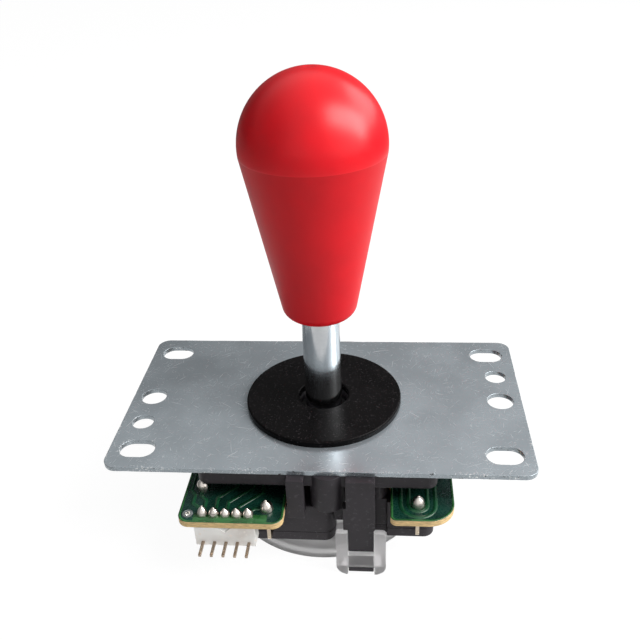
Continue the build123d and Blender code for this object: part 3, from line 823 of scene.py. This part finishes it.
def trace_routes():
    """Paths of the copper traces on the board's top, in millimetres."""
    routes = [
        [(-24.73, -30.9), (-24.73, -26.6), (-26.3, -25.0), (-26.3, -22.2)],
        [(-22.19, -30.9), (-22.19, -25.5), (-18.5, -21.8), (-18.5, -16.5), (-16.5, -14.5), (-16.5, 6.0),
         (-20.0, 9.5), (-27.5, 9.5), (-28.8, 10.8)],
        [(-19.65, -30.9), (-19.65, -27.0), (-14.6, -21.9), (-14.6, 12.0), (-8.1, 18.5), (9.4, 18.5),
         (10.8, 19.9), (10.8, 28.8)],
        [(-17.11, -30.9), (-17.11, -28.4), (-12.4, -23.7), (-12.4, -18.6), (-10.6, -16.8), (17.9, -16.8),
         (23.9, -10.8), (28.8, -10.8)],
        [(-14.57, -30.9), (-14.57, -29.9), (-13.5, -28.8), (-10.8, -28.8)],
    ]
    for x, y, tail, up in ((22.2, -26.3, -18.0, -1), (26.3, 22.2, 17.5, 1), (-22.2, 26.3, 18.5, 1)):
        for reach in (2.05, 3.8):
            loop = [(x - reach * math.cos(t), y + up * reach * math.sin(t)) for t in arc(0, math.pi, 12)]
            routes.append([(x - reach, tail), *loop, (x + reach, tail)])
    routes.append([(-28.8, -18.0), (-28.8, -23.6), (-27.6, -24.8), (-27.6, -27.6), (-25.9, -28.9)])
    return routes


class LEVER_OT_board(bpy.types.Operator):
    """Make the green board with its pale rim, laminate edge and raised traces"""

    bl_idname = "lever.board"
    bl_label = "Circuit board"

    def execute(self, context):
        tones, detail = settings(context)
        shell = rounded(merged("circuit_board"), detail.board_edge, 1)
        for face in shell.faces:
            face.material_index = 0 if abs(face.normal.z) > 0.5 else 1
        mask = self.mask(tones.mask_green)
        board = settled("green_board", shell, [mask, self.laminate(tones.laminate_tan)], 30.0)
        carried(board, "base", "board_green", "circuit_board")
        rim = outline_route("circuit_board", detail.board_rim * 0.56)
        traces = self.copper("mask over copper", tones.copper_green)
        lines = self.ribbons("board_traces", trace_routes(), False, detail.trace_width, traces)
        pale = self.copper("mask over rim", tones.rim_green)
        band = self.ribbons("board_rim", [rim], True, detail.board_rim, pale)
        front = [(-26.6, -31.75), (-10.4, -31.75)]
        fill = self.ribbons("board_fill", [front], False, detail.board_fill, pale, 1.5)
        for piece in (lines, band, fill):
            carried(piece, "base", "board_green")
        carried(self.plated_hole(), "base", "solder_metal")
        return {"FINISHED"}

    def mask(self, deep):
        """Solder mask over the bare laminate."""
        def paint(bench, where):
            tones = bench.group(mottle, where, 240.0, scaled(deep, 0.75), scaled(deep, 1.5))
            weave = bench.grain(bench.placed(where, scale=(1.0, 1.0, 0.1)), 2600.0, 1.0)
            return [
                tones["Colour"],
                bench.span(weave, 0.3, 0.7, 0.24, 0.34),
                bench.bump(weave, 0.006 * MM, 0.5),
            ]
        return finish("solder mask", paint)

    def copper(self, name, tone):
        """Solder mask over copper."""
        def paint(bench, where):
            tones = bench.group(mottle, where, 300.0, scaled(tone, 0.6), opaque(tone))
            gloss = bench.span(tones["Mask"], 0.0, 1.0, 0.24, 0.32)
            return [tones["Colour"], gloss]
        return finish(name, paint)

    def laminate(self, tone):
        """The cut edge of the laminate, in thin layers."""
        def paint(bench, where):
            layers = bench.grain(bench.placed(where, scale=(0.12, 0.12, 1.0)), 6500.0, 3.0)
            stripes = bench.span(layers, 0.35, 0.65)
            return [
                bench.mix(stripes, scaled(tone, 0.72), scaled(tone, 1.1)),
                bench.span(layers, 0.3, 0.7, 0.55, 0.75),
                bench.bump(layers, 0.03 * MM, 0.6),
            ]
        return finish("laminate edge", paint)

    def ribbons(self, name, routes, closed, width, material, lift=1.0):
        """Copper under the mask, as raised ribbons along their routes."""
        detail = bpy.context.scene.lever_detail
        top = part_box("circuit_board")[1].z
        curve = bpy.data.curves.new(name, "CURVE")
        curve.dimensions = "3D"
        for route in routes:
            spline = curve.splines.new("POLY")
            spline.use_cyclic_u = closed
            spline.points.add(len(route) - 1)
            for point, (x, y) in zip(spline.points, route):
                point.co = (x * MM, y * MM, top, 1.0)
        values = {"Width": width, "Height": detail.trace_height * lift, "Finish": material,
                  "Bend": 0.0 if closed else detail.trace_bend}
        return grown(name, shared(self.trace_ribbon), placed_object(name + " routes", curve), values)

    def trace_ribbon(self, name):
        """Geometry Nodes: a flat ribbon along each route, with round bends."""
        tree, bench, given, result = growth_tree(name, "Routes", "Width", "Height", "Bend")
        feeds = {"Curve": given["Routes"], "Radius": given["Bend"], "Limit Radius": True, "Count": 4}
        bends = bench.add("GeometryNodeFilletCurve", feeds, mode="POLY")
        level = bench.add("GeometryNodeSetCurveNormal", {"Curve": bends.outputs[0]}, mode="Z_UP")
        feeds = {"Width": given["Width"], "Height": bench.times(given["Height"], 2.0)}
        section = bench.add("GeometryNodeCurvePrimitiveQuadrilateral", feeds)
        feeds = {"Curve": level.outputs[0], "Profile Curve": section.outputs[0], "Fill Caps": True}
        ended(bench, result, bench.add("GeometryNodeCurveToMesh", feeds).outputs[0], given["Finish"])
        return tree

    def plated_hole(self):
        """The tinned, half filled hole at the front left corner."""
        low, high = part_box("circuit_board")
        hole, ring, rise = 0.65 * MM, 1.15 * MM, 0.06 * MM
        shell = lathe([
            (0, low.z - rise), (ring, low.z - rise), (ring, low.z), (hole, low.z), (hole, high.z),
            (ring, high.z), (ring, high.z + rise), (hole - rise, high.z + rise),
            (hole - rise, high.z - 0.5 * MM), (0, high.z - 0.7 * MM),
        ])
        bmesh.ops.translate(shell, verts=shell.verts, vec=(low.x + 2.1 * MM, low.y + 2.45 * MM, 0))
        return settled("plated_hole", shell, [metal("tinned ring", (0.66, 0.65, 0.62), 0.22)])


class LEVER_OT_solder(bpy.types.Operator):
    """Grow a cone of solder at each pin and strip"""

    bl_idname = "lever.solder"
    bl_label = "Solder"

    def execute(self, context):
        detail = context.scene.lever_detail
        mesh = bpy.data.meshes.new("solder places")
        places = []
        for low, high in islands("solder_joints"):
            places.append(((low[0] + high[0]) / 2, (low[1] + high[1]) / 2, low[2]))
        mesh.from_pydata(places, [], [])
        header_row, wide = -30 * MM, 1.28
        sizes = mesh.attributes.new("size", "FLOAT", "POINT")
        sizes.data.foreach_set("value", [1.0 if y < header_row else wide for x, y, z in places])
        values = {"Foot": detail.solder_foot, "Height": detail.solder_height, "Seed": detail.seed,
                  "Finish": metal("solder", (0.70, 0.65, 0.60), 0.26, 0.8)}
        cones = grown("solder_cones", self.cone_tree(), placed_object("solder places", mesh), values)
        carried(cones, "base", "solder_metal", "solder_joints")
        return {"FINISHED"}

    def cone_tree(self):
        """Geometry Nodes: a pointed drop on each point, each leaning and sized a little differently."""
        tree, bench, given, result = growth_tree("solder cone", "Places", "Foot", "Height", Seed="Int")
        feeds = {"Vertices": 28, "Side Segments": 16, "Fill Segments": 2, "Radius": 1.0, "Depth": 1.0}
        drum = bench.add("GeometryNodeMeshCylinder", feeds)
        place = bench.add("GeometryNodeInputPosition").outputs[0]
        share = bench.maths("ADD", bench.axis(place, "Z"), 0.5)
        rise = bench.maths("POWER", bench.maths("DIVIDE", share, 0.86), 2.0)
        mound = bench.maths("SQRT", bench.most(bench.less(1.0, rise), 0.0))
        wick = bench.maths("MULTIPLY_ADD", bench.less(1.0, share), 0.45, 0.16)
        reach = bench.times(bench.maths("SMOOTH_MAX", mound, wick, 0.2), given["Foot"])
        feeds = {letter: bench.times(bench.axis(place, letter), reach) for letter in "XY"}
        feeds["Z"] = bench.times(share, given["Height"])
        moved = bench.add("ShaderNodeCombineXYZ", feeds).outputs[0]
        cone = bench.add("GeometryNodeSetPosition", {"Geometry": drum.outputs["Mesh"], "Position": moved})
        smooth = bench.add("GeometryNodeSetShadeSmooth", {"Geometry": cone.outputs[0]}).outputs[0]

        def varied(low, high):
            """Three numbers of each cone's own."""
            feeds = {0: low, 1: high, "Seed": given["Seed"]}
            return bench.add("FunctionNodeRandomValue", feeds, data_type="FLOAT_VECTOR").outputs[0]

        own = bench.add("GeometryNodeInputNamedAttribute", {"Name": "size"}, data_type="FLOAT").outputs[0]
        feeds = {0: varied((0.94, 0.94, 0.85), (1.04, 1.04, 1.05)), 3: own}
        size = bench.add("ShaderNodeVectorMath", feeds, operation="SCALE").outputs[0]
        feeds = {"Points": given["Places"], "Instance": smooth, "Scale": size}
        feeds["Rotation"] = varied((-0.1, -0.1, 0.0), (0.1, 0.1, 6.28))
        spread = bench.add("GeometryNodeInstanceOnPoints", feeds).outputs[0]
        ended(bench, result, spread, given["Finish"])
        return tree


class LEVER_OT_header(bpy.types.Operator):
    """Make the white signal header and its pins"""

    bl_idname = "lever.header"
    bl_label = "Signal header"

    def execute(self, context):
        tones, detail = settings(context)
        white = moulded("header nylon", tones.header_white, 900.0, 0.01, 0.42, fleck_and_glint=1.05, shine=0.5)
        bronze = metal("tinned pins", tones.pin_bronze, 0.28, 0.7)
        softened("header_body", "connector_housing", detail.header_edge, white, "header_white")
        softened("header_pins", "connector_pins", detail.strip_edge, bronze, "pin_metal")
        return {"FINISHED"}


class LEVER_OT_switches(bpy.types.Operator):
    """Make the four microswitches"""

    bl_idname = "lever.switches"
    bl_label = "Switches"

    def execute(self, context):
        tones, detail = settings(context)
        case = moulded("switch case", tones.switch_black, 1300.0, 0.012, 0.44)
        paler = [part * 1.2 for part in tones.switch_black]
        cover = moulded("switch cover", paler, 1300.0, 0.012, 0.48)
        strips = metal("tinned strips", (0.52, 0.44, 0.34), 0.26, 0.7)
        ivory = moulded("plunger ivory", (0.80, 0.77, 0.66), 1200.0, 0.006, 0.34, fleck_and_glint=1.1, shine=0.5)
        for side in SIDES:
            node = side + "_switch_"
            softened(side + "_case", node + "case", detail.switch_edge, case, "switch_case")
            softened(side + "_cover", node + "cover", detail.switch_edge, cover, "switch_cover")
            softened(side + "_strips", node + "terminals", detail.strip_edge, strips, "terminal_metal")
            dressed(node + "plunger", ivory)
        return {"FINISHED"}


class LEVER_OT_gate(bpy.types.Operator):
    """Make the clear gate frame and its disc"""

    bl_idname = "lever.gate"
    bl_label = "Clear gate"

    def execute(self, context):
        tones, detail = settings(context)
        dish_r = -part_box("front_switch_case")[0].y
        clear = self.clear(tones.clear_tint, dish_r)
        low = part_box("gate_frame")[0].z

        def plain(place):
            """The dish and the underside, which stay crisp."""
            return max(abs(place.x), abs(place.y)) < dish_r or place.z < low + 0.1 * MM

        softened("clear_frame", "gate_frame", detail.gate_edge, clear, "gate_clear", plain)
        softened("clear_disc", "gate_disc", detail.disc_edge, clear, "gate_clear")
        return {"FINISHED"}

    def clear(self, tone, dish_r):
        """Clear plastic with faint ripples, hazier in the dish, where its colour is darkened as painted
        shade.
        """
        def paint(bench, where):
            ripple = bench.grain(where, 220.0)
            out = bench.vector("LENGTH", bench.placed(where, scale=(1, 1, 0)), (0, 0, 0))
            haze_and_shade = bench.span(out, dish_r - 1.5 * MM, dish_r + 1.5 * MM, 1.0, 0.0)
            tones = bench.group(mottle, where, 160.0, scaled(tone, 0.97), opaque(tone))
            gloss = bench.span(ripple, 0.3, 0.7, 0.31, 0.38)
            return [
                # Painted shade: inside the dish the colour falls towards grey, as if the shade beneath showed
                # through.
                bench.mix(haze_and_shade, tones["Colour"], scaled(tone, 0.54)),
                bench.maths("MULTIPLY_ADD", haze_and_shade, 0.2, gloss),
                bench.bump(ripple, 0.05 * MM, 0.3),
            ]
        return finish("clear plastic", paint, transmission_weight=0.93, ior=1.4)


class LEVER_OT_mechanism(bpy.types.Operator):
    """Wind the spring, and dress the ball bush in black as painted shade, the actuator and the clip"""

    bl_idname = "lever.mechanism"
    bl_label = "Mechanism"

    def execute(self, context):
        detail = context.scene.lever_detail
        low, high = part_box("centering_spring")
        steel = metal("spring wire", (0.60, 0.60, 0.61), 0.25)
        wire_r = detail.spring_wire / 2
        rise = high.z - low.z - 2 * wire_r - detail.spring_room
        values = {"Turns": detail.spring_turns, "Coil": high.x - wire_r, "Wire": wire_r,
                  "Base": low.z + wire_r, "Height": rise, "Finish": steel}
        source = placed_object("spring source", bpy.data.meshes.new("spring source"))
        spring = grown("lever_spring", self.coil_tree(), source, values)
        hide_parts("centering_spring")
        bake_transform(spring)
        # The bush is black as painted shade: it darkens the washer's bore round the shaft.
        dressed("pivot_bush", moulded("bush painted-shade black", (0.02, 0.02, 0.021), 1000.0, 0.008, 0.38))
        dressed("actuator", moulded("actuator black", (0.03, 0.03, 0.031), 1000.0, 0.012, 0.42))
        dressed("retaining_clip", metal("clip steel", (0.42, 0.42, 0.43), 0.32))
        return {"FINISHED"}

    def coil_tree(self):
        """Geometry Nodes: round wire along a helix."""
        numbers = ("Turns", "Coil", "Wire", "Base", "Height")
        tree, bench, given, result = growth_tree("spring coil", "Start", *numbers)
        feeds = {"Resolution": 40, "Rotations": given["Turns"], "Height": given["Height"]}
        feeds.update({end + " Radius": given["Coil"] for end in ("Start", "End")})
        helix = bench.add("GeometryNodeCurveSpiral", feeds).outputs[0]
        lift = bench.add("ShaderNodeCombineXYZ", {"Z": given["Base"]}).outputs[0]
        raised = bench.add("GeometryNodeSetPosition", {"Geometry": helix, "Offset": lift})
        section = bench.add("GeometryNodeCurvePrimitiveCircle", {"Resolution": 14, "Radius": given["Wire"]})
        feeds = {"Curve": raised.outputs[0], "Profile Curve": section.outputs[0], "Fill Caps": True}
        wire = bench.add("GeometryNodeCurveToMesh", feeds)
        smooth = bench.add("GeometryNodeSetShadeSmooth", {"Geometry": wire.outputs[0]})
        ended(bench, result, smooth.outputs[0], given["Finish"])
        return tree


MAKERS = (
    LEVER_OT_stage, LEVER_OT_bat, LEVER_OT_plate, LEVER_OT_washer, LEVER_OT_shaft, LEVER_OT_housing,
    LEVER_OT_board, LEVER_OT_solder, LEVER_OT_header, LEVER_OT_switches, LEVER_OT_gate, LEVER_OT_mechanism,
)
SETTINGS = {"lever_finish": LeverFinish, "lever_detail": LeverDetail, "lever_stage": LeverStage}


class LEVER_PT_sidebar(bpy.types.Panel):
    """The lever's pieces and settings"""

    bl_idname = "LEVER_PT_sidebar"
    bl_label = "Joystick lever"
    bl_space_type = "VIEW_3D"
    bl_region_type = "UI"
    bl_category = "Lever"

    def draw(self, context):
        for maker in MAKERS:
            self.layout.operator(maker.bl_idname)
        for name, kind in SETTINGS.items():
            box = self.layout.box()
            for key in kind.__annotations__:
                box.prop(getattr(context.scene, name), key)


def register():
    """Add the settings, operators and panel."""
    for kind in (*SETTINGS.values(), *MAKERS, LEVER_PT_sidebar):
        bpy.utils.register_class(kind)
    for name, kind in SETTINGS.items():
        setattr(bpy.types.Scene, name, PointerProperty(type=kind))


def unregister():
    """Take the settings, operators and panel away."""
    for name in SETTINGS:
        delattr(bpy.types.Scene, name)
    for kind in reversed((*SETTINGS.values(), *MAKERS, LEVER_PT_sidebar)):
        bpy.utils.unregister_class(kind)


def main():
    """Make every piece in order."""
    register()
    for maker in MAKERS:
        group, name = maker.bl_idname.split(".")
        getattr(getattr(bpy.ops, group), name)()


if __name__ == "__main__":
    main()
